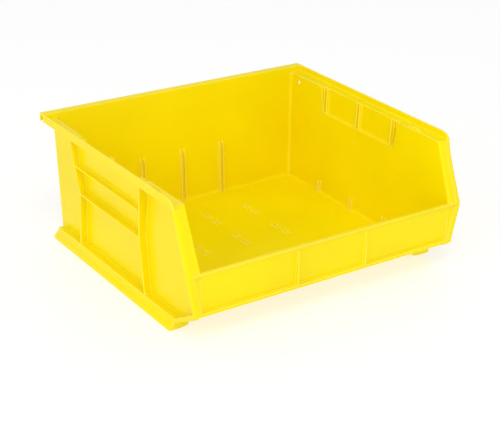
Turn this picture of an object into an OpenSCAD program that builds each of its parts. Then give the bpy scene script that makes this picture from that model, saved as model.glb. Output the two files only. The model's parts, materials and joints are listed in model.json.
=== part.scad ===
// Stackable, hangable storage bin with an open hopper front.
// The bin is one plastic moulding. Each module is one region of it, and the regions meet face to face.
// Frame: X is the width, the hopper front faces -Y, Z is up, the origin is under the middle of the bin.

/* [Overall size] */
// Width over the two rims
bin_w = 419; // [380:1:460]
// Depth from the hanging lip to the front ribs
bin_d = 375; // [360:1:420]
// Height from the foot rails to the top of the rims
bin_h = 178; // [170:1:200]

/* [Walls and floor] */
// Thickness of the moulded walls
wall_t = 2.5; // [2:0.1:3]
// Height of the floor's top face
floor_z = 10; // [8:0.5:14]
// Distance from the rim's outside to the wall's inside, at the ledge
rim_to_wall = 18; // [15:0.5:22]
// How far each side wall leans out from floor to ledge
side_draft = 4.5; // [0:0.5:8]
// How far the back wall leans out from floor to lip
back_draft = 7.5; // [0:0.5:10]
// Distance from the hanging lip's rear face to the wall's inside, at the top
lip_to_wall = 12; // [10:0.5:16]

/* [Rim and stacking ledge] */
// Drop from the top of the rim to the ledge
ledge_drop = 8.5; // [6:0.5:8.5]
// Height of the rim band; at 11 its lower edge is level with the underside of the ledge
rim_h = 11; // [11:0.5:16]
// How far the outer band of the sloping flange stands proud of the rest of it
rim_proud = 1.2; // [0.5:0.1:2]
// Width of that band, rim included
band_w = 9.5; // [8:0.5:11]
// Radius of the rim's upper front corner
corner_r = 14; // [5:1:20]
// Distance from the hopper front back to the rim's upper corner
rim_setback = 36.5; // [25:0.5:50]

/* [Hopper front] */
// Height of the hopper's top edge
hopper_z = 94; // [80:1:110]
// Height of the sloping floor's underside where it meets the hopper wall
hopper_foot_z = 39.5; // [34:0.5:44]
// Height of the bead along the hopper's top edge
bead_h = 2.5; // [2:0.1:3.5]
// Distance from the middle to each upright rib
hopper_rib_x = 52; // [40:1:90]
// Distance from the front ribs back to where the floor starts to slope up to the hopper
slope_start = 50.5; // [45:0.5:60]

/* [Foot rails] */
// Height of the rail's shelf
rail_h = 18; // [16:0.5:22]
// Distance from the middle to the rail's outside
rail_x = 204; // [200:0.5:206]
// How far the rail's foot flares out beyond its shelf
rail_flare = 4.5; // [2:0.5:6]
// Height of the upright toe under the flare
rail_toe = 5; // [3:0.5:7]

/* [Outside ribs] */
// Thickness of the outside ribs
rib_t = 2.2; // [1.5:0.1:3]
// Height at which the label panel starts, just under the upper cross rib's top face
label_z = 129.5; // [120:0.5:140]
// Height of the lower cross rib's top face, where the uprights are closest together
waist_z = 94; // [80:1:110]
// How far the label panel is set out from the rest of the side wall
label_offset = 4.5; // [3:0.5:6]

/* [Divider slots] */
// Distance between divider positions from front to back
slot_pitch_y = 75; // [60:1:80]
// Distance between divider positions from side to side
slot_pitch_x = 65; // [50:1:80]
// Clear width of one divider slot
slot_w = 4.4; // [4.2:0.1:5]
// Height to which the slots on the back wall reach
back_slot_z = 87; // [60:1:110]

/* [Side hole] */
// Diameter of the small round hole in each side wall
hole_d = 6; // [3:0.5:8]

/* [Hidden] */
bin_colour = [1, 0.84, 0.02];
panel_colour = [1, 0.88, 0.12];
rib_colour = [0.96, 0.78, 0];
big = 600;

half_w = bin_w / 2;
half_d = bin_d / 2;
ledge_z = bin_h - ledge_drop;
wall_top = ledge_z - wall_t;
lip_under = bin_h - wall_t;
rim_bottom = bin_h - rim_h;
rim_in = half_w - wall_t;
wall_in_top = half_w - rim_to_wall;
back_in_top = half_d - lip_to_wall;
slope_y = slope_start - half_d;

// The rim's upper front corner and its front tip, in Y and Z
rim_corner = [rim_setback - half_d, bin_h];
rim_tip = [1.5 - half_d, hopper_z];
slope_dir = (rim_tip - rim_corner) / norm(rim_corner - rim_tip);
slope_back = [-slope_dir[1], slope_dir[0]];
slope_lean = atan2(-slope_dir[0], -slope_dir[1]);
flange_back = rim_proud + wall_t;
band_in = half_w - band_w;

// Front faces of the hopper wall, the lip and bead, and the flanges beside them, and the height of
// the lip at the hopper's foot and of the shelf at its two ends
hopper_foot_top = hopper_foot_z + wall_t;
hopper_wall_top = hopper_z - bead_h;
hopper_top_y = 3 - half_d;
hopper_foot_y = 6 - half_d;
lip_y = 1.5 - half_d;
lip_h = 4;
shelf_h = [5.5, 8];
hopper_rib_taper = 8;
flange_y = 4 - half_d;
flange_rear = flange_y + wall_t;
corner_foot_x = rail_x - 5;

// Outside ribs: half their spread, and their outer edge, at the rail, the waist and the ledge
rib_mid_y = 16;
rib_spread = [83, 75.5, 87];
rail_shelf_x = rail_x - rail_flare;
rib_edge = [rail_shelf_x, half_w - 8, rim_in];

slot_y = [for (i = [-1 : 1]) rib_mid_y + i * slot_pitch_y];
slot_x = [for (i = [-1 : 1]) i * slot_pitch_x];
slot_rib_t = 1.6;
slot_rib_d = 4;
short_slot_h = 17;

// Foot rail: its ends on the ground, how far both lean forward at the shelf, its solid rear end,
// and the web that carries its front end in under the floor
rail_front = -136;
rail_rear = 169.5;
rail_lean = 5;
rail_rear_wall = 9;
rail_hollow_in = wall_in_top + 0.5;
toe_web_w = [9, 12];
toe_web_up = 1.5;
rail_web_y = [for (i = [0 : 4]) -84 + 50 * i];
hole_y = 156;
hole_z = bin_h - 18.5;

// Stop bar: its two ends, its distance from the wall's inside, its thickness and its height
stop_bar_y = [-112, -87];
stop_bar_in = 4;
stop_bar_t = 3;
stop_bar_h = 2.5;

// Inside and outside of the side wall, and of the back wall, at height z
function side_in(z) = wall_in_top - side_draft * (ledge_z - z) / (ledge_z - floor_z);
function side_out(z) = side_in(z) + wall_t;
function back_in(z) = back_in_top - back_draft * (lip_under - z) / (lip_under - floor_z);
function back_out(z) = back_in(z) + wall_t;
// Height of the sloping floor's top face at depth y
function slope_z(y) = floor_z + (slope_y - y) * (hopper_foot_top - floor_z) / (slope_y - hopper_foot_y);
// Depth of the line that runs behind the rim's front edge, at height z
function behind_rim(z, back) = rim_corner[0] - (bin_h - z) * tan(slope_lean) + back / cos(slope_lean);
// Value at height z between the rail's shelf, the waist and the ledge
function by_height(v, z) = z > waist_z
    ? v[1] + (v[2] - v[1]) * (z - waist_z) / (wall_top - waist_z)
    : v[0] + (v[1] - v[0]) * (z - rail_h) / (waist_z - rail_h);
// Depth of the front (-1) or rear (1) upright rib's inner face at height z
function rib_y(end, z) = rib_mid_y + end * by_height(rib_spread, z);
// Depth of the foot rail's front face at height z
function rail_front_at(z) = rail_front - rail_lean * z / rail_h;
function arc(centre, r, from, to, steps = 8) =
    [for (i = [0 : steps], a = from + (to - from) * i / steps) centre + r * [cos(a), sin(a)]];

// Extrusion along Y of an outline in X and Z
module along_y(y0 = -big, y1 = big) {
    translate([0, y1, 0]) rotate([90, 0, 0]) linear_extrude(y1 - y0) children();
}
// Extrusion along X of an outline in Y and Z
module along_x(x0 = 0, x1 = big) {
    translate([x0, 0, 0]) rotate([90, 0, 90]) linear_extrude(x1 - x0) children();
}
module box(low, high) {
    translate(low) cube(high - low);
}
module on_left() {
    mirror([1, 0, 0]) children();
}
// Everything between the two side walls' inner faces
module between_walls(z0, z1) {
    along_y() polygon([[-side_in(z0), z0], [side_in(z0), z0], [side_in(z1), z1], [-side_in(z1), z1]]);
}
// The leaning sheet of one side wall, set out by shift and t thick
module side_sheet(z0, z1, shift = 0, t = wall_t) {
    along_y() polygon([
        [side_in(z0) + shift, z0],
        [side_in(z0) + shift + t, z0],
        [side_in(z1) + shift + t, z1],
        [side_in(z1) + shift, z1]
    ]);
}

// ---- Floor ----
module floor_panel() {
    edge = side_out(floor_z);
    color(bin_colour) box([-edge, slope_y, floor_z - wall_t], [edge, back_out(floor_z), floor_z]);
}

module floor_front_slope() {
    edge = side_out(floor_z);
    color(bin_colour) along_x(-edge, edge) polygon([
        [slope_y, floor_z - wall_t],
        [slope_y, floor_z],
        [hopper_foot_y, hopper_foot_top],
        [hopper_foot_y, hopper_foot_z]
    ]);
}

// Two pairs of short raised lines at each place where dividers cross
module floor_divider_marks() {
    mark = [slot_rib_t, 15, 0.8];
    gap = 8;
    from_middle = [(slot_w + mark[0]) / 2, (mark[1] + gap) / 2];
    color(rib_colour)
        for (x = slot_x, y = slot_y, side = [-1, 1], end = [-1, 1])
            translate([x + side * from_middle[0], y + end * from_middle[1], floor_z + mark[2] / 2])
                cube(mark, center = true);
}

// ---- Back ----
module back_wall() {
    color(bin_colour) {
        intersection() {
            along_x(-half_w, half_w) polygon([
                [back_in(floor_z), floor_z],
                [back_out(floor_z), floor_z],
                [back_out(wall_top), wall_top],
                [back_in(wall_top), wall_top]
            ]);
            between_walls(floor_z, wall_top);
        }
        along_x(-rim_in, rim_in) polygon([
            [back_in(wall_top), wall_top],
            [back_out(wall_top), wall_top],
            [back_out(lip_under), lip_under],
            [back_in(lip_under), lip_under]
        ]);
    }
}

// Plate that turns back from the wall's top and down again, to hook over a louvred panel
module hanging_lip() {
    color(bin_colour) along_x(-half_w, half_w) polygon([
        [back_in_top, lip_under],
        [half_d - wall_t, lip_under],
        [half_d - wall_t, rim_bottom],
        [half_d, rim_bottom],
        [half_d, bin_h - wall_t / 2],
        [half_d - wall_t / 2, bin_h],
        [back_in_top, bin_h]
    ]);
}

// Two thin upright ribs with a slot between them, deep enough to be trimmed to a wall
module slot_pair(z0, z1) {
    for (side = [-1, 1])
        translate([side * (slot_w + slot_rib_t) / 2, 0, (z0 + z1) / 2])
            cube([slot_rib_t, bin_d, z1 - z0], center = true);
}

module back_divider_ribs() {
    color(rib_colour) intersection() {
        for (x = slot_x)
            translate([x, bin_d / 2, 0]) slot_pair(floor_z, back_slot_z);
        along_x(-half_w, half_w) polygon([
            [back_in(floor_z) - slot_rib_d, floor_z],
            [back_in(floor_z), floor_z],
            [back_in(back_slot_z), back_slot_z],
            [back_in(back_slot_z) - 1, back_slot_z],
            [back_in(back_slot_z) - slot_rib_d, back_slot_z - slot_rib_d]
        ]);
    }
}

// ---- Side walls, drawn for the right side ----
module rear_panel() {
    color(panel_colour) difference() {
        intersection() {
            side_sheet(floor_z, wall_top);
            along_x() polygon([
                [rib_y(1, floor_z), floor_z],
                [back_out(floor_z), floor_z],
                [back_out(wall_top), wall_top],
                [rib_y(1, wall_top), wall_top],
                [rib_y(1, waist_z), waist_z]
            ]);
        }
        translate([0, hole_y, hole_z]) rotate([0, 90, 0]) cylinder(h = bin_w, d = hole_d, $fn = 48);
    }
}

module centre_panel() {
    color(panel_colour) intersection() {
        side_sheet(floor_z, label_z);
        along_x() polygon([
            for (z = [floor_z, waist_z, label_z]) [rib_y(-1, z), z],
            for (z = [label_z, waist_z, floor_z]) [rib_y(1, z), z]
        ]);
    }
}

// Space inside the label panel, open towards the bin
module label_recess() {
    step = label_z + wall_t;
    intersection() {
        side_sheet(step, bin_h, -label_offset, 2 * label_offset);
        along_x() polygon([
            for (z = [step, bin_h]) [rib_y(-1, z) + wall_t, z],
            for (z = [bin_h, step]) [rib_y(1, z) - wall_t, z]
        ]);
    }
}

// Upper middle of the side wall, set out from the rest, with the step that joins it to the rest
module label_panel() {
    color(panel_colour) intersection() {
        difference() {
            side_sheet(label_z, wall_top, 0, wall_t + label_offset);
            label_recess();
        }
        along_x() polygon([
            for (z = [label_z, wall_top]) [rib_y(-1, z), z],
            for (z = [wall_top, label_z]) [rib_y(1, z), z]
        ]);
    }
}

module front_panel() {
    color(panel_colour) intersection() {
        side_sheet(floor_z, wall_top);
        along_x() polygon([
            [slope_y, floor_z],
            for (z = [floor_z, waist_z, wall_top]) [rib_y(-1, z), z],
            for (z = [wall_top, hopper_z]) [behind_rim(z, flange_back), z],
            [flange_rear, hopper_z],
            [flange_rear, slope_z(flange_rear)]
        ]);
    }
}

// ---- Ledge, rim and flanges, drawn for the right side ----
module stacking_ledge() {
    color(bin_colour) difference() {
        for (part = [[0, rim_proud], [band_in, 0]])
            along_x(part[0], rim_in) polygon([
                [behind_rim(ledge_z, part[1]), wall_top],
                [behind_rim(ledge_z, part[1]), ledge_z],
                [back_in(ledge_z), ledge_z],
                [back_in(wall_top), wall_top]
            ]);
        between_walls(floor_z, bin_h);
        label_recess();
    }
}

// Low bar that catches a rib inside the foot rail of the bin above
module stop_bar() {
    inner = side_in(ledge_z) + stop_bar_in;
    color(rib_colour)
        box([inner, stop_bar_y[0], ledge_z], [inner + stop_bar_t, stop_bar_y[1], ledge_z + stop_bar_h]);
}

// Band along the top of the side, round the front corner and down the slope to the tip
module rim() {
    across = corner_r * (1 - sin(slope_lean)) / cos(slope_lean);
    centre = rim_corner + corner_r * slope_back + across * slope_dir;
    color(bin_colour) along_x(rim_in, half_w) polygon(concat(
        [[back_in_top, lip_under], [back_in_top, bin_h]],
        arc(centre, corner_r, 90, 180 - slope_lean),
        [rim_tip, [rim_tip[0], hopper_wall_top], [flange_rear, hopper_wall_top]],
        [for (z = [hopper_z, rim_bottom]) [behind_rim(z, flange_back), z]],
        [[back_out(lip_under), rim_bottom], [back_out(lip_under), lip_under]]
    ));
}

// Sloping flange between the side wall's front edge and the rim, with a proud band along its outer edge
module front_flange() {
    color(bin_colour) intersection() {
        for (part = [[0, rim_proud], [band_in, 0]])
            along_x(part[0], rim_in) polygon([
                for (z = [ledge_z, hopper_z]) [behind_rim(z, part[1]), z],
                for (z = [hopper_z, wall_top]) [behind_rim(z, flange_back), z],
                [behind_rim(ledge_z, part[1]), wall_top]
            ]);
        side_sheet(hopper_z, ledge_z, 0, bin_w);
    }
}

// Upright flange below the tip, which narrows down to the lip at the hopper's foot
module corner_flange() {
    foot_in = corner_foot_x - band_w;
    color(bin_colour) {
        along_y(flange_y, flange_rear) polygon([
            [side_in(hopper_foot_top), hopper_foot_top],
            [corner_foot_x, hopper_foot_top],
            [half_w, hopper_wall_top],
            [side_in(hopper_wall_top), hopper_wall_top]
        ]);
        along_y(lip_y, flange_y) polygon([
            [foot_in, hopper_foot_top],
            [corner_foot_x, hopper_foot_top],
            [half_w, hopper_wall_top],
            [band_in, hopper_wall_top]
        ]);
    }
}

// ---- Hopper front ----
module hopper_wall() {
    color(panel_colour) intersection() {
        along_x(-half_w, half_w) polygon([
            [hopper_foot_y, hopper_foot_top],
            [hopper_foot_y + wall_t, slope_z(hopper_foot_y + wall_t)],
            [hopper_top_y + wall_t, hopper_wall_top],
            [hopper_top_y, hopper_wall_top]
        ]);
        between_walls(floor_z, hopper_z);
    }
}

module hopper_top_bead() {
    color(bin_colour) along_x(-rim_in, rim_in) polygon([
        [lip_y, hopper_wall_top],
        [lip_y, hopper_z],
        [flange_rear, hopper_z],
        [flange_rear, hopper_wall_top]
    ]);
}

module hopper_foot_lip() {
    low = hopper_foot_top - lip_h;
    color(bin_colour) box([-corner_foot_x, lip_y, low], [corner_foot_x, hopper_foot_y, hopper_foot_top]);
}

module hopper_ribs() {
    color(rib_colour)
        for (x = [-hopper_rib_x, hopper_rib_x])
            along_x(x - rib_t / 2, x + rib_t / 2) polygon([
                [hopper_foot_y, hopper_foot_top],
                [-half_d, hopper_foot_top],
                [-half_d, hopper_wall_top - hopper_rib_taper],
                [hopper_top_y, hopper_wall_top]
            ]);
}

// ---- Foot rails, drawn for the right side ----
// Channel open underneath: shelf, hollow flare and toe outside, one leg under the floor's edge
module foot_rail() {
    flare_top = rail_h - wall_t;
    flare_h = flare_top - rail_toe;
    flare_r = (rail_flare ^ 2 + flare_h ^ 2) / (2 * rail_flare);
    edge = side_out(floor_z);
    ends = concat([rail_front], rail_web_y, [rail_rear - rail_rear_wall]);
    color(bin_colour) along_y(rail_front, rail_front + wall_t) polygon([
        [side_in(0), 0],
        [side_in(0) - toe_web_w[0], toe_web_up],
        [side_in(0) - toe_web_w[1], floor_z - wall_t],
        [side_in(0), floor_z - wall_t]
    ]);
    color(bin_colour) difference() {
        intersection() {
            along_y() polygon(concat(
                [[side_out(rail_h), rail_h], [rail_shelf_x, rail_h]],
                arc([rail_shelf_x + flare_r, flare_top], flare_r, 180, 180 + asin(flare_h / flare_r)),
                [[rail_x, 0], [side_in(0), 0], [side_in(0), floor_z - wall_t]],
                [[edge, floor_z - wall_t], [edge, floor_z]]
            ));
            along_x() polygon([
                [rail_front, 0],
                [rail_rear, 0],
                [rail_rear, rail_toe],
                [rail_rear - rail_lean, rail_h],
                [rail_front_at(rail_h), rail_h]
            ]);
        }
        for (i = [0 : len(ends) - 2])
            along_y(ends[i] + wall_t, ends[i + 1]) polygon([
                [rail_hollow_in, -1],
                [rail_hollow_in, flare_top],
                [rail_shelf_x - wall_t, flare_top],
                [rail_x - wall_t, rail_toe],
                [rail_x - wall_t, -1]
            ]);
    }
}

// Shelf that carries the rail's top line on, up the sloping floor to the foot lip
module slope_shelf() {
    color(bin_colour) intersection() {
        along_x(0, corner_foot_x) polygon([
            [rail_front_at(rail_h), rail_h],
            [rail_front_at(rail_h - shelf_h[0]), rail_h - shelf_h[0]],
            [hopper_foot_y, hopper_foot_top - shelf_h[1]],
            [hopper_foot_y, hopper_foot_top]
        ]);
        side_sheet(floor_z, hopper_z, wall_t, bin_w);
    }
}

// ---- Outside ribs, drawn for the right side ----
module upright_ribs() {
    color(rib_colour) intersection() {
        along_y() polygon([
            [side_out(rail_h), rail_h],
            for (z = [rail_h, waist_z, wall_top]) [by_height(rib_edge, z), z],
            [side_out(wall_top), wall_top]
        ]);
        for (end = [-1, 1])
            along_x() polygon([
                for (z = [rail_h, waist_z, wall_top]) [rib_y(end, z), z],
                for (z = [wall_top, waist_z, rail_h]) [rib_y(end, z) + end * rib_t, z]
            ]);
    }
}

module cross_rib(top, shift) {
    low = top - rib_t;
    intersection() {
        along_y() polygon([
            [side_out(low) + shift, low],
            [by_height(rib_edge, low), low],
            [by_height(rib_edge, top), top],
            [side_out(top) + shift, top]
        ]);
        along_x() polygon([
            for (z = [low, top]) [rib_y(-1, z), z],
            for (z = [top, low]) [rib_y(1, z), z]
        ]);
    }
}

module cross_ribs() {
    color(rib_colour) {
        cross_rib(label_z + wall_t, label_offset);
        cross_rib(waist_z, 0);
    }
}

// ---- Divider ribs inside the right wall ----
module upper_divider_ribs() {
    color(rib_colour) intersection() {
        side_sheet(label_z + wall_t, ledge_z, 0, label_offset);
        for (y = slot_y)
            translate([bin_w / 2, y, 0]) rotate([0, 0, 90]) slot_pair(label_z + wall_t, ledge_z);
    }
}

module lower_divider_ribs() {
    top = floor_z + short_slot_h;
    color(rib_colour) intersection() {
        along_y() polygon([
            [side_in(floor_z) - slot_rib_d, floor_z],
            [side_in(floor_z), floor_z],
            [side_in(top), top],
            [side_in(top) - 1, top]
        ]);
        for (y = slot_y)
            translate([bin_w / 2, y, 0]) rotate([0, 0, 90]) slot_pair(floor_z, top);
    }
}

floor_panel();
floor_front_slope();
floor_divider_marks();
back_wall();
hanging_lip();
back_divider_ribs();
on_left() rear_panel();  // left_rear_panel
on_left() centre_panel();  // left_centre_panel
on_left() label_panel();  // left_label_panel
on_left() front_panel();  // left_front_panel
rear_panel();  // right_rear_panel
centre_panel();  // right_centre_panel
label_panel();  // right_label_panel
front_panel();  // right_front_panel
on_left() stacking_ledge();  // left_stacking_ledge
stacking_ledge();  // right_stacking_ledge
on_left() rim();  // left_rim
rim();  // right_rim
on_left() stop_bar();  // left_stop_bar
stop_bar();  // right_stop_bar
on_left() front_flange();  // left_front_flange
front_flange();  // right_front_flange
on_left() corner_flange();  // left_corner_flange
corner_flange();  // right_corner_flange
hopper_wall();
hopper_top_bead();
hopper_foot_lip();
hopper_ribs();
on_left() foot_rail();  // left_foot_rail
foot_rail();  // right_foot_rail
on_left() slope_shelf();  // left_slope_shelf
slope_shelf();  // right_slope_shelf
on_left() upright_ribs();  // left_upright_ribs
upright_ribs();  // right_upright_ribs
on_left() cross_ribs();  // left_cross_ribs
cross_ribs();  // right_cross_ribs
on_left() upper_divider_ribs();  // left_upper_divider_ribs
upper_divider_ribs();  // right_upper_divider_ribs
on_left() lower_divider_ribs();  // left_lower_divider_ribs
lower_divider_ribs();  // right_lower_divider_ribs
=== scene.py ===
"""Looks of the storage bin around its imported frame: edges, fillets, plastic, floor, light and camera."""
import json
import math

import bmesh
import bpy
import numpy as np
from mathutils import Matrix, Quaternion, Vector
from mathutils.geometry import area_tri, delaunay_2d_cdt

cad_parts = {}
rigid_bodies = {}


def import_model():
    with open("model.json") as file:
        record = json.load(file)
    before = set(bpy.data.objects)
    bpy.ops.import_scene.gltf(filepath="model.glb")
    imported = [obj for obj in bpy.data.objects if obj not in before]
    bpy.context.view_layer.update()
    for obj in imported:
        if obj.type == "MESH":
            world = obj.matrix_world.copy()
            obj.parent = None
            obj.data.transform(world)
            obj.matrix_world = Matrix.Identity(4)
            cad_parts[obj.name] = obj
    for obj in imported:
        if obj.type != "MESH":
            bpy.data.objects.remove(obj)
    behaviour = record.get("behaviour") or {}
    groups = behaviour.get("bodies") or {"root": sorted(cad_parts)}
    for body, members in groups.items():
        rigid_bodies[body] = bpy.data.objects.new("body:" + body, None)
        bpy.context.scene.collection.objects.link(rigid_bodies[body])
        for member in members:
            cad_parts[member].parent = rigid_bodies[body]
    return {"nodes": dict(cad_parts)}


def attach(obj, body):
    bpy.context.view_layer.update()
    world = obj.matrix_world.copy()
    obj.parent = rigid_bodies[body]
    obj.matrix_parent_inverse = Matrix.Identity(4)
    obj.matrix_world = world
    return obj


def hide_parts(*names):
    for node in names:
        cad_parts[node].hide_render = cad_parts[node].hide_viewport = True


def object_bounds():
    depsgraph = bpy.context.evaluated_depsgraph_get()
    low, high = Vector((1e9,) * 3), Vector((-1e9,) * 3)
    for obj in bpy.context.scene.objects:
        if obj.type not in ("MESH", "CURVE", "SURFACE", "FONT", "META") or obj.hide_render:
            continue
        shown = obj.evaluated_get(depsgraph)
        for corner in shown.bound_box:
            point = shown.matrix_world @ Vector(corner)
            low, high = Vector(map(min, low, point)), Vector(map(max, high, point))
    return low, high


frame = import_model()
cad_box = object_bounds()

MM = 0.001
NODES = sorted(frame["nodes"])

# How far each solid grows in mm before the join, so that solids that only touch overlap
OVERLAP = 0.004
# Least distance in metres between two points, and least angle in radians between two flat faces
WELD = 1e-6
FLAT_ANGLE = 0.0005

# ---- Sizes of the moulding in mm, as in the CAD source ----
HALF_W, HALF_D, BIN_H = 209.5, 187.5, 178
WALL = 2.5
FLOOR_Z, LEDGE_Z, HOPPER_Z = 10, 169.5, 94
SIDE_IN_TOP, SIDE_DRAFT = 191.5, 4.5
BACK_IN_TOP, BACK_DRAFT, LIP_UNDER = 175.5, 7.5, 175.5
RIM_IN, RIM_BOTTOM = 207, 167
RIM_PROUD = 1.2
SLOPE_Y, FOOT_Y, FOOT_Z = -137, -181.5, 42
TIP_Y, TOP_CORNER_Y = -186, -151
HOPPER_TOP_Y, HOPPER_WALL_TOP = -184.5, 91.5
CORNER_FOOT_X, LIP_LOW = 199, 38

SLOPE_LEAN = math.atan2(TOP_CORNER_Y - TIP_Y, BIN_H - HOPPER_Z)
SIN, COS = math.sin(SLOPE_LEAN), math.cos(SLOPE_LEAN)


def side_in(z):
    return SIDE_IN_TOP - SIDE_DRAFT * (LEDGE_Z - z) / (LEDGE_Z - FLOOR_Z)


def back_in(z):
    return BACK_IN_TOP - BACK_DRAFT * (LIP_UNDER - z) / (LIP_UNDER - FLOOR_Z)


def slope_z(y):
    return FLOOR_Z + (SLOPE_Y - y) * (FOOT_Z - FLOOR_Z) / (SLOPE_Y - FOOT_Y)


def front_y(z, back=0):
    """Depth of the sloping front line at height z, moved back at right angles to the slope."""
    return TOP_CORNER_Y - (BIN_H - z) * math.tan(SLOPE_LEAN) + back / COS


# ---- The moulding: CAD solids and fillets joined, then outer corners cut round ----
def clean_solid(mesh):
    """A closed copy of a CAD mesh, with each flat face in one polygon, grown by OVERLAP on all sides."""
    bm = bmesh.new()
    bm.from_mesh(mesh)
    bmesh.ops.remove_doubles(bm, verts=bm.verts, dist=WELD)
    bmesh.ops.dissolve_limit(bm, angle_limit=FLAT_ANGLE, verts=bm.verts, edges=bm.edges)
    bm.normal_update()
    moves = []
    for vert in bm.verts:
        planes = np.array([face.normal for face in vert.link_faces])
        moves.append(np.linalg.lstsq(planes, np.full(len(planes), OVERLAP * MM), rcond=0.02)[0])
    for vert, move in zip(bm.verts, moves):
        vert.co += Vector(move)
    return bm


BAR_CLEARANCE = 0.02
SAME_POINT = 1e-3


def corner_bar(rings, steps=8, bury=1.3):
    """A bar along a corner line, bounded by the arc that rounds the corner and by the outside of the corner.

    Each ring is (corner, along_first, along_second, radius): a point of the line and the directions that run
    away from it along the two surfaces. The bar reaches bury mm past the corner, and its arc stands clear of
    the surfaces that it meets by BAR_CLEARANCE.
    """
    bm = bmesh.new()
    loops = []
    for corner, first, second, radius in rings:
        corner, a, b = Vector(corner), Vector(first).normalized(), Vector(second).normalized()
        half = a.angle(b) / 2
        outward = -(a + b).normalized()
        middle = corner - outward * radius / math.sin(half)
        start = corner + a * radius / math.tan(half) - middle
        axis = a.cross(b)
        turn = math.pi - 2 * half
        points = [middle + Quaternion(axis, -turn * i / steps) @ start for i in range(steps + 1)]
        if (points[-1] - (corner + b * radius / math.tan(half))).length > SAME_POINT:
            points = [middle + Quaternion(axis, turn * i / steps) @ start for i in range(steps + 1)]
        points = [p + outward * BAR_CLEARANCE for p in points]
        points += [points[-1] + outward * bury, corner + outward * bury * 1.6, points[0] + outward * bury]
        loops.append([bm.verts.new(p * MM) for p in points])
    count = len(loops[0])
    for near, far in zip(loops, loops[1:]):
        for i in range(count):
            j = (i + 1) % count
            bm.faces.new((near[i], near[j], far[j], far[i]))
    bm.faces.new(loops[0][::-1])
    bm.faces.new(loops[-1])
    bmesh.ops.triangulate(bm, faces=bm.faces)
    bmesh.ops.recalc_face_normals(bm, faces=bm.faces)
    return bm


def mirror_x(point):
    return (-point[0], point[1], point[2])


def both_sides(rings):
    """The rings of a bar on the right and of its mirror image on the left."""
    return [rings, [(mirror_x(c), mirror_x(a), mirror_x(b), radius) for c, a, b, radius in rings]]


WALL_UP = (SIDE_DRAFT, 0, LEDGE_Z - FLOOR_Z)
BACK_UP = (0, BACK_DRAFT, LIP_UNDER - FLOOR_Z)
SLOPE_UP = (0, FOOT_Y - SLOPE_Y, FOOT_Z - FLOOR_Z)
SLOPE_DOWN = (0, SLOPE_Y - FOOT_Y, FLOOR_Z - FOOT_Z)
HOPPER_UP = (0, HOPPER_TOP_Y - FOOT_Y, HOPPER_WALL_TOP - FOOT_Z)
INWARD, REARWARD, FORWARD = (-1, 0, 0), (0, 1, 0), (0, -1, 0)
FRONT_IN_Y = FOOT_Y + WALL
FRONT_IN_Z = slope_z(FRONT_IN_Y)
ACROSS_WALL = Vector(WALL_UP).normalized()
SLOPE_DIR = Vector(SLOPE_UP).normalized()
WALL_FROM_SLOPE = ACROSS_WALL - SLOPE_DIR * ACROSS_WALL.dot(SLOPE_DIR)

floor_edge = (side_in(FLOOR_Z), SLOPE_Y, FLOOR_Z)
slope_end = (side_in(FRONT_IN_Z), FRONT_IN_Y, FRONT_IN_Z)
back_corner = (side_in(FLOOR_Z), back_in(FLOOR_Z), FLOOR_Z)
hopper_corner = (side_in(HOPPER_WALL_TOP), HOPPER_TOP_Y + WALL, HOPPER_WALL_TOP)


# Inside corners: floor and back, floor and its slope, slope and hopper wall, then the side walls and the rims
fillets = [
    [(mirror_x(back_corner), BACK_UP, FORWARD, 5), (back_corner, BACK_UP, FORWARD, 5)],
    [(mirror_x(floor_edge), REARWARD, SLOPE_UP, 18), (floor_edge, REARWARD, SLOPE_UP, 18)],
    [(mirror_x(slope_end), HOPPER_UP, SLOPE_DOWN, 5), (slope_end, HOPPER_UP, SLOPE_DOWN, 5)],
]
fillets += both_sides([(back_corner, WALL_UP, INWARD, 5), (floor_edge, WALL_UP, INWARD, 5),
                       (slope_end, WALL_FROM_SLOPE, INWARD, 5)])
fillets += both_sides([(back_corner, FORWARD, INWARD, 5),
                       ((side_in(LEDGE_Z), back_in(LEDGE_Z), LEDGE_Z - 0.5), FORWARD, INWARD, 5)])
fillets += both_sides([(slope_end, REARWARD, INWARD, 5),
                       (hopper_corner, REARWARD, INWARD, 4)])
fillets += both_sides([((RIM_IN, front_y(LEDGE_Z) + 1, LEDGE_Z), (0, 0, 1), INWARD, 1.8),
                       ((RIM_IN, back_in(LEDGE_Z), LEDGE_Z), (0, 0, 1), INWARD, 1.8)])

# Outer corner of the sloping front edge, from the foot lip up to the rim's top corner
slope_back = (0, COS, -SIN)
cuts = both_sides([
    ((CORNER_FOOT_X, TIP_Y, LIP_LOW - 2), REARWARD, INWARD, 3),
    ((CORNER_FOOT_X, TIP_Y, FOOT_Z), REARWARD, INWARD, 3.5),
    ((HALF_W, TIP_Y, HOPPER_WALL_TOP - 3), REARWARD, INWARD, 4.5),
    ((HALF_W, TIP_Y, HOPPER_Z), REARWARD, INWARD, 5),
    ((HALF_W, front_y(100), 100), slope_back, INWARD, 6),
    ((HALF_W, front_y(152), 152), slope_back, INWARD, 6),
    ((HALF_W, front_y(160), 160), slope_back, INWARD, 4.5),
    ((HALF_W, front_y(166), 166), slope_back, INWARD, 2.5),
    ((HALF_W, front_y(169.2), 169.2), slope_back, INWARD, 1.3),
])
# Inner edge of the sloping flange
cuts += both_sides([((side_in(z), front_y(z, RIM_PROUD), z), slope_back, (1, 0, 0), 3)
                    for z in (HOPPER_Z, LEDGE_Z + 6)])
# Front end of the ledge, where it turns down into the flange
cuts += both_sides([((x, front_y(LEDGE_Z, RIM_PROUD), LEDGE_Z), REARWARD, (0, -SIN, -COS), 4)
                    for x in (side_in(LEDGE_Z) - 4, RIM_IN)])
# Rear corners of the hanging lip
cuts += both_sides([((HALF_W, HALF_D, z), FORWARD, INWARD, 3) for z in (RIM_BOTTOM - 2, BIN_H + 2)])


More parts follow.
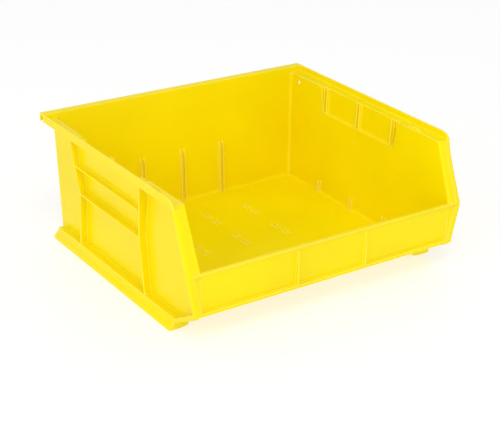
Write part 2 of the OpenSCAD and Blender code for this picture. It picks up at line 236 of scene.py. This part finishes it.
def add_operand(name, bm, material, collection):
    mesh = bpy.data.meshes.new("operand_" + name)
    bm.to_mesh(mesh)
    bm.free()
    mesh.materials.append(material)
    obj = bpy.data.objects.new("operand_" + name, mesh)
    collection.objects.link(obj)
    return obj


def new_collection(name):
    collection = bpy.data.collections.new(name)
    bpy.context.scene.collection.children.link(collection)
    return collection


# How far in mm a cutting bar reaches past the corner that it rounds
CUT_BURY = 4

flat_material = bpy.data.materials.new("flat")
curve_material = bpy.data.materials.new("curve")
added, removed = new_collection("added"), new_collection("removed")
for name in NODES:
    add_operand(name, clean_solid(frame["nodes"][name].data), flat_material, added)
for i, rings in enumerate(fillets):
    add_operand("fillet_%d" % i, corner_bar(rings), curve_material, added)
for i, rings in enumerate(cuts):
    add_operand("cut_%d" % i, corner_bar(rings, bury=CUT_BURY), curve_material, removed)

first = added.objects["operand_floor_panel"]
added.objects.unlink(first)
bpy.context.scene.collection.objects.link(first)
for operation, collection in (("UNION", added), ("DIFFERENCE", removed)):
    step = first.modifiers.new(operation, "BOOLEAN")
    step.operation = operation
    step.operand_type = "COLLECTION"
    step.collection = collection
    step.solver = "MANIFOLD"
    step.material_mode = "TRANSFER"
depsgraph = bpy.context.evaluated_depsgraph_get()
whole = bpy.data.meshes.new_from_object(first.evaluated_get(depsgraph), depsgraph=depsgraph)
for obj in list(added.objects) + list(removed.objects) + [first]:
    bpy.data.objects.remove(obj)
for collection in (added, removed):
    bpy.data.collections.remove(collection)

SLIVER = 0.005
bm = bmesh.new()
bm.from_mesh(whole)
bmesh.ops.dissolve_degenerate(bm, dist=SLIVER * MM, edges=bm.edges)
bmesh.ops.dissolve_limit(bm, angle_limit=FLAT_ANGLE, verts=bm.verts, edges=bm.edges, delimit={"MATERIAL"})
bm.normal_update()

# ---- Edge rounding: each edge gets the radius that its surroundings leave room for ----
# Radii in mm: the usual and the least one, and the one that an edge weight of 1 stands for
ROUND, LEAST_ROUND, LARGEST = 1.2, 0.08, 6.0
ROOM_SHARE = 0.42
# Edges that turn less than this are smooth, and those that turn more are folds
SMOOTH_BELOW, FOLDED = math.radians(24), math.radians(140)
weights = bm.edges.layers.float.new("bevel_weight_edge")
curve_index = [i for i, m in enumerate(whole.materials) if m.name == "curve"][0]


def across(face):
    """About how wide a face is."""
    return face.calc_area() / max(e.calc_length() for e in face.edges)


def room(edge):
    """The least of the lengths of the edges that meet this one and the widths of its faces, in mm."""
    least = min(across(f) for f in edge.link_faces)
    for vert in edge.verts:
        for face in edge.link_faces:
            for other in vert.link_edges:
                if other is not edge and other in face.edges[:]:
                    least = min(least, other.calc_length())
    return least / MM


for edge in bm.edges:
    if not edge.is_manifold or len(edge.link_faces) != 2:
        continue
    if not SMOOTH_BELOW < abs(edge.calc_face_angle_signed(0)) < FOLDED:
        continue
    radius = min(ROUND, ROOM_SHARE * room(edge))
    if radius > LEAST_ROUND:
        edge[weights] = radius / LARGEST
bm.to_mesh(whole)
bm.free()

shell = bpy.data.objects.new("shell", whole)
bpy.context.scene.collection.objects.link(shell)
round_material = bpy.data.materials.new("round")
whole.materials.append(round_material)
round_index = len(whole.materials) - 1
bevel = shell.modifiers.new("bevel", "BEVEL")
bevel.width = LARGEST * MM
bevel.segments = 3
bevel.limit_method = "WEIGHT"
bevel.use_clamp_overlap = False
bevel.material = round_index
bevel.miter_outer = "MITER_SHARP"
depsgraph = bpy.context.evaluated_depsgraph_get()
rounded = bpy.data.meshes.new_from_object(shell.evaluated_get(depsgraph), depsgraph=depsgraph)
shell.modifiers.clear()
shell.data = rounded
bm = bmesh.new()
bm.from_mesh(rounded)
bm.normal_update()


def tessellation_error(face):
    """How far the area of a face's drawn triangles is from its own area."""
    drawn = sum(area_tri(*[loop.vert.co for loop in triangle]) for triangle in drawn_as.get(face, ()))
    return abs(drawn - face.calc_area())


def winding(point, outline):
    """How many times the outline runs anticlockwise round the point."""
    turns = 0
    for a, b in zip(outline, outline[1:] + outline[:1]):
        left = (b - a).cross(point - a)
        if a.y <= point.y < b.y and left > 0:
            turns += 1
        elif b.y <= point.y < a.y and left < 0:
            turns -= 1
    return turns


CROSSING = 1e-7


def split_face(face):
    """Triangles that fill the face, found by a constrained Delaunay triangulation in the face's own plane."""
    normal = face.normal
    side = max(face.edges, key=lambda e: e.calc_length())
    u = (side.verts[1].co - side.verts[0].co).normalized()
    v = normal.cross(u)
    verts = list(face.verts)
    flat = [Vector((vert.co.dot(u), vert.co.dot(v))) / MM for vert in verts]
    outline = list(range(len(flat)))
    points, _, triangles, origins, _, _ = delaunay_2d_cdt(flat, [], [outline], 0, CROSSING, True)
    depth = normal * verts[0].co.dot(normal)
    corners = []
    for point, origin in zip(points, origins):
        if origin:
            corners.append(verts[origin[0]])
        else:
            corners.append(bm.verts.new((u * point[0] + v * point[1]) * MM + depth))
    inside = []
    for triangle in triangles:
        middle = sum((points[i] for i in triangle), Vector((0, 0))) / 3
        if winding(middle, flat) > 0:
            inside.append([corners[i] for i in triangle])
    return inside


# A narrow face, in mm, counts as part of a curve if it turns into its neighbour by a small angle
NARROW = 4
CURVE_TURN = 0.005


def is_curve(face):
    if face.material_index in (curve_index, round_index):
        return True
    if across(face) > NARROW * MM:
        return False
    shared = [edge for edge in face.edges if len(edge.link_faces) == 2]
    return any(CURVE_TURN < abs(edge.calc_face_angle(0)) < SMOOTH_BELOW for edge in shared)


# From here on a face's material index is 1 on a curve and 0 on a flat face
facing = bm.faces.layers.float_vector.new("facing")
for face, curve in [(face, is_curve(face)) for face in bm.faces]:
    face.material_index = 1 if curve else 0
    face[facing] = face.normal

# Faces that Blender draws with overlapping triangles are split here, which leaves some edges open
DRAWN_ERROR = 1e-8
drawn_as = {}
for triangle in bm.calc_loop_triangles():
    drawn_as.setdefault(triangle[0].face, []).append(triangle)
poor = [face for face in bm.faces if len(face.verts) > 4 and tessellation_error(face) > DRAWN_ERROR]
for face in poor:
    triangles = split_face(face)
    if not triangles:
        continue
    index, normal = face.material_index, face[facing].copy()
    bm.faces.remove(face)
    for corners in triangles:
        if len(set(corners)) == 3 and not bm.faces.get(corners):
            part = bm.faces.new(corners)
            part.material_index = index
            part[facing] = normal
bmesh.ops.remove_doubles(bm, verts=bm.verts, dist=WELD)
bmesh.ops.delete(bm, geom=[edge for edge in bm.edges if edge.is_wire], context="EDGES")
low, high = cad_box
for vert in bm.verts:
    vert.co = Vector([min(max(vert.co[i], low[i]), high[i]) for i in range(3)])
bm.normal_update()


# ---- Shading normals: flat faces stay flat, rounded ones run smoothly between them ----
NEAR = math.cos(math.radians(50))


def corner_normal(loop):
    """The shading normal of a face at one corner."""
    own = loop.face[facing]
    if not loop.face.material_index:
        return own.normalized()
    flats = [f[facing] for f in loop.vert.link_faces if not f.material_index and f[facing].dot(own) > NEAR]
    if flats:
        return max(flats, key=lambda n: n.dot(own)).normalized()
    normal = Vector((0, 0, 0))
    for other in loop.vert.link_loops:
        if other.face.material_index and other.face[facing].dot(own) > NEAR:
            normal += other.face[facing] * other.calc_angle()
    return normal.normalized() if normal.length > 0 else own.copy()


bm.to_mesh(rounded)
normals = [corner_normal(loop) for face in bm.faces for loop in face.loops]
bm.free()
rounded.polygons.foreach_set("use_smooth", [True] * len(rounded.polygons))
rounded.normals_split_custom_set(normals)
while rounded.materials:
    rounded.materials.pop()

# ---- Plastic: cloudy yellow, with a painted highlight of pale yellow along sharp edges, faint waves, grain and smears ----
plastic = bpy.data.materials.new("plastic")
plastic.use_nodes = True
tree = plastic.node_tree
shader = tree.nodes["Principled BSDF"]
shader.inputs["IOR"].default_value = 1.49
shader.inputs["Specular IOR Level"].default_value = 0.16
shader.inputs["Subsurface Weight"].default_value = 0.12
shader.inputs["Subsurface Radius"].default_value = (1.0, 0.7, 0.15)
shader.inputs["Subsurface Scale"].default_value = 0.002


def node(kind, **settings):
    made = tree.nodes.new(kind)
    for name, value in settings.items():
        if name in made.inputs:
            made.inputs[name].default_value = value
        else:
            setattr(made, name, value)
    return made


def ramp(source, *stops):
    made = tree.nodes.new("ShaderNodeValToRGB")
    elements = made.color_ramp.elements
    for element, (place, colour) in zip(elements, stops):
        element.position = place
        element.color = colour
    for place, colour in stops[2:]:
        elements.new(place).color = colour
    tree.links.new(source, made.inputs["Fac"])
    return made.outputs["Color"]


place = tree.nodes.new("ShaderNodeTexCoord").outputs["Object"]
clouds = node("ShaderNodeTexNoise", Scale=9.0, Detail=3.0)
grain = node("ShaderNodeTexNoise", Scale=1400.0, Detail=2.0)
smears = node("ShaderNodeTexNoise", Scale=38.0, Detail=6.0, Roughness=0.65)
for texture in (clouds, grain, smears):
    tree.links.new(place, texture.inputs["Vector"])
body = ramp(clouds.outputs["Fac"], (0.3, (0.91, 0.735, 0.0, 1)), (0.7, (0.97, 0.79, 0.0, 1)))
# Painted highlight: the colour turns pale yellow along edges, where the bevel node's rounded normal leans
# away from the face's own normal
softened = node("ShaderNodeBevel", samples=4, Radius=0.0008)
across_edge = node("ShaderNodeVectorMath", operation="DOT_PRODUCT")
tree.links.new(softened.outputs["Normal"], across_edge.inputs[0])
tree.links.new(tree.nodes.new("ShaderNodeNewGeometry").outputs["Normal"], across_edge.inputs[1])
edges = ramp(across_edge.outputs["Value"], (0.93, (0.9, 0.9, 0.9, 1)), (0.997, (0, 0, 0, 1)))
painted_edge_highlight = node("ShaderNodeMix", data_type="RGBA")
tree.links.new(edges, painted_edge_highlight.inputs["Factor"])
tree.links.new(body, painted_edge_highlight.inputs["A"])
# Pale yellow of the painted edge highlight
painted_edge_highlight.inputs["B"].default_value = (1.0, 0.93, 0.28, 1)
tree.links.new(painted_edge_highlight.outputs["Result"], shader.inputs["Base Color"])
sheen = node("ShaderNodeMapRange")
tree.links.new(smears.outputs["Fac"], sheen.inputs["Value"])
for name, value in (("From Min", 0.3), ("From Max", 0.7), ("To Min", 0.27), ("To Max", 0.37)):
    sheen.inputs[name].default_value = value
tree.links.new(sheen.outputs["Result"], shader.inputs["Roughness"])
waves = node("ShaderNodeBump", Strength=0.25, Distance=0.0006)
tree.links.new(clouds.outputs["Fac"], waves.inputs["Height"])
texture = node("ShaderNodeBump", Strength=0.12, Distance=0.00004)
tree.links.new(grain.outputs["Fac"], texture.inputs["Height"])
tree.links.new(waves.outputs["Normal"], texture.inputs["Normal"])
tree.links.new(texture.outputs["Normal"], shader.inputs["Normal"])
rounded.materials.append(plastic)
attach(shell, "root")
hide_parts(*NODES)

# ---- Floor, light and camera ----
floor_mesh = bpy.data.meshes.new("floor")
FLOOR_HALF = 6
floor_corners = [(x * FLOOR_HALF, y * FLOOR_HALF, 0) for x, y in ((-1, -1), (1, -1), (1, 1), (-1, 1))]
floor_mesh.from_pydata(floor_corners, [], [(0, 1, 2, 3)])
floor = bpy.data.objects.new("floor", floor_mesh)
bpy.context.scene.collection.objects.link(floor)
paper = bpy.data.materials.new("paper")
paper.use_nodes = True
paper_inputs = paper.node_tree.nodes["Principled BSDF"].inputs
paper_inputs["Base Color"].default_value = (0.4, 0.4, 0.4, 1)
paper_inputs["Emission Color"].default_value = (1, 1, 1, 1)
paper_inputs["Emission Strength"].default_value = 0.62
floor_mesh.materials.append(paper)

AZIMUTH, ELEVATION, ROLL = math.radians(-36.1), math.radians(24.08), math.radians(1.87)
CAMERA_DISTANCE = 1.72536
SENSOR, FOCAL_LENGTH = 36, 96.20856
SHIFT_X, SHIFT_Y = -0.07474, -0.02002
target = Vector((11.3, -72.18, 90)) * MM
back = Vector((math.sin(AZIMUTH) * math.cos(ELEVATION),
               -math.cos(AZIMUTH) * math.cos(ELEVATION),
               math.sin(ELEVATION)))
right = Vector((math.cos(AZIMUTH), math.sin(AZIMUTH), 0))
up = back.cross(right)
tilted_right = right * math.cos(ROLL) + up * math.sin(ROLL)
tilted_up = up * math.cos(ROLL) - right * math.sin(ROLL)
camera_data = bpy.data.cameras.new("camera")
camera_data.sensor_width = SENSOR
camera_data.lens = FOCAL_LENGTH
camera_data.shift_x = SHIFT_X
camera_data.shift_y = SHIFT_Y
camera_data.clip_end = 50
camera = bpy.data.objects.new("camera", camera_data)
turned = Matrix((tilted_right, tilted_up, back)).transposed().to_4x4()
camera.matrix_world = Matrix.Translation(target + back * CAMERA_DISTANCE) @ turned
bpy.context.scene.collection.objects.link(camera)
bpy.context.scene.camera = camera

world = bpy.data.worlds.new("world")
bpy.context.scene.world = world
world.use_nodes = True
sky = world.node_tree
direction = sky.nodes.new("ShaderNodeTexCoord")
split = sky.nodes.new("ShaderNodeSeparateXYZ")
fade = sky.nodes.new("ShaderNodeValToRGB")
for element, height, grey in zip(fade.color_ramp.elements, (0.05, 0.9), (1.0, 0.55)):
    element.position = height
    element.color = (grey, grey, grey, 1)
sky.links.new(direction.outputs["Generated"], split.inputs["Vector"])
sky.links.new(split.outputs["Z"], fade.inputs["Fac"])
sky.links.new(fade.outputs["Color"], sky.nodes["Background"].inputs["Color"])
sky.nodes["Background"].inputs["Strength"].default_value = 0.96


def lamp(name, place, aim, size, watts):
    data = bpy.data.lights.new(name, "AREA")
    data.energy = watts
    data.size = size
    light = bpy.data.objects.new(name, data)
    light.location = place
    light.rotation_euler = (Vector(aim) - Vector(place)).to_track_quat("-Z", "Y").to_euler()
    bpy.context.scene.collection.objects.link(light)


lamp("overhead", (-0.5, -1.1, 1.8), (0, 0, 0.1), 0.9, 13.5)
lamp("front left", (-2.1, -0.7, 1.4), (0.1, 0, 0.1), 1.0, 9.5)
bpy.context.scene.view_settings.view_transform = "Standard"
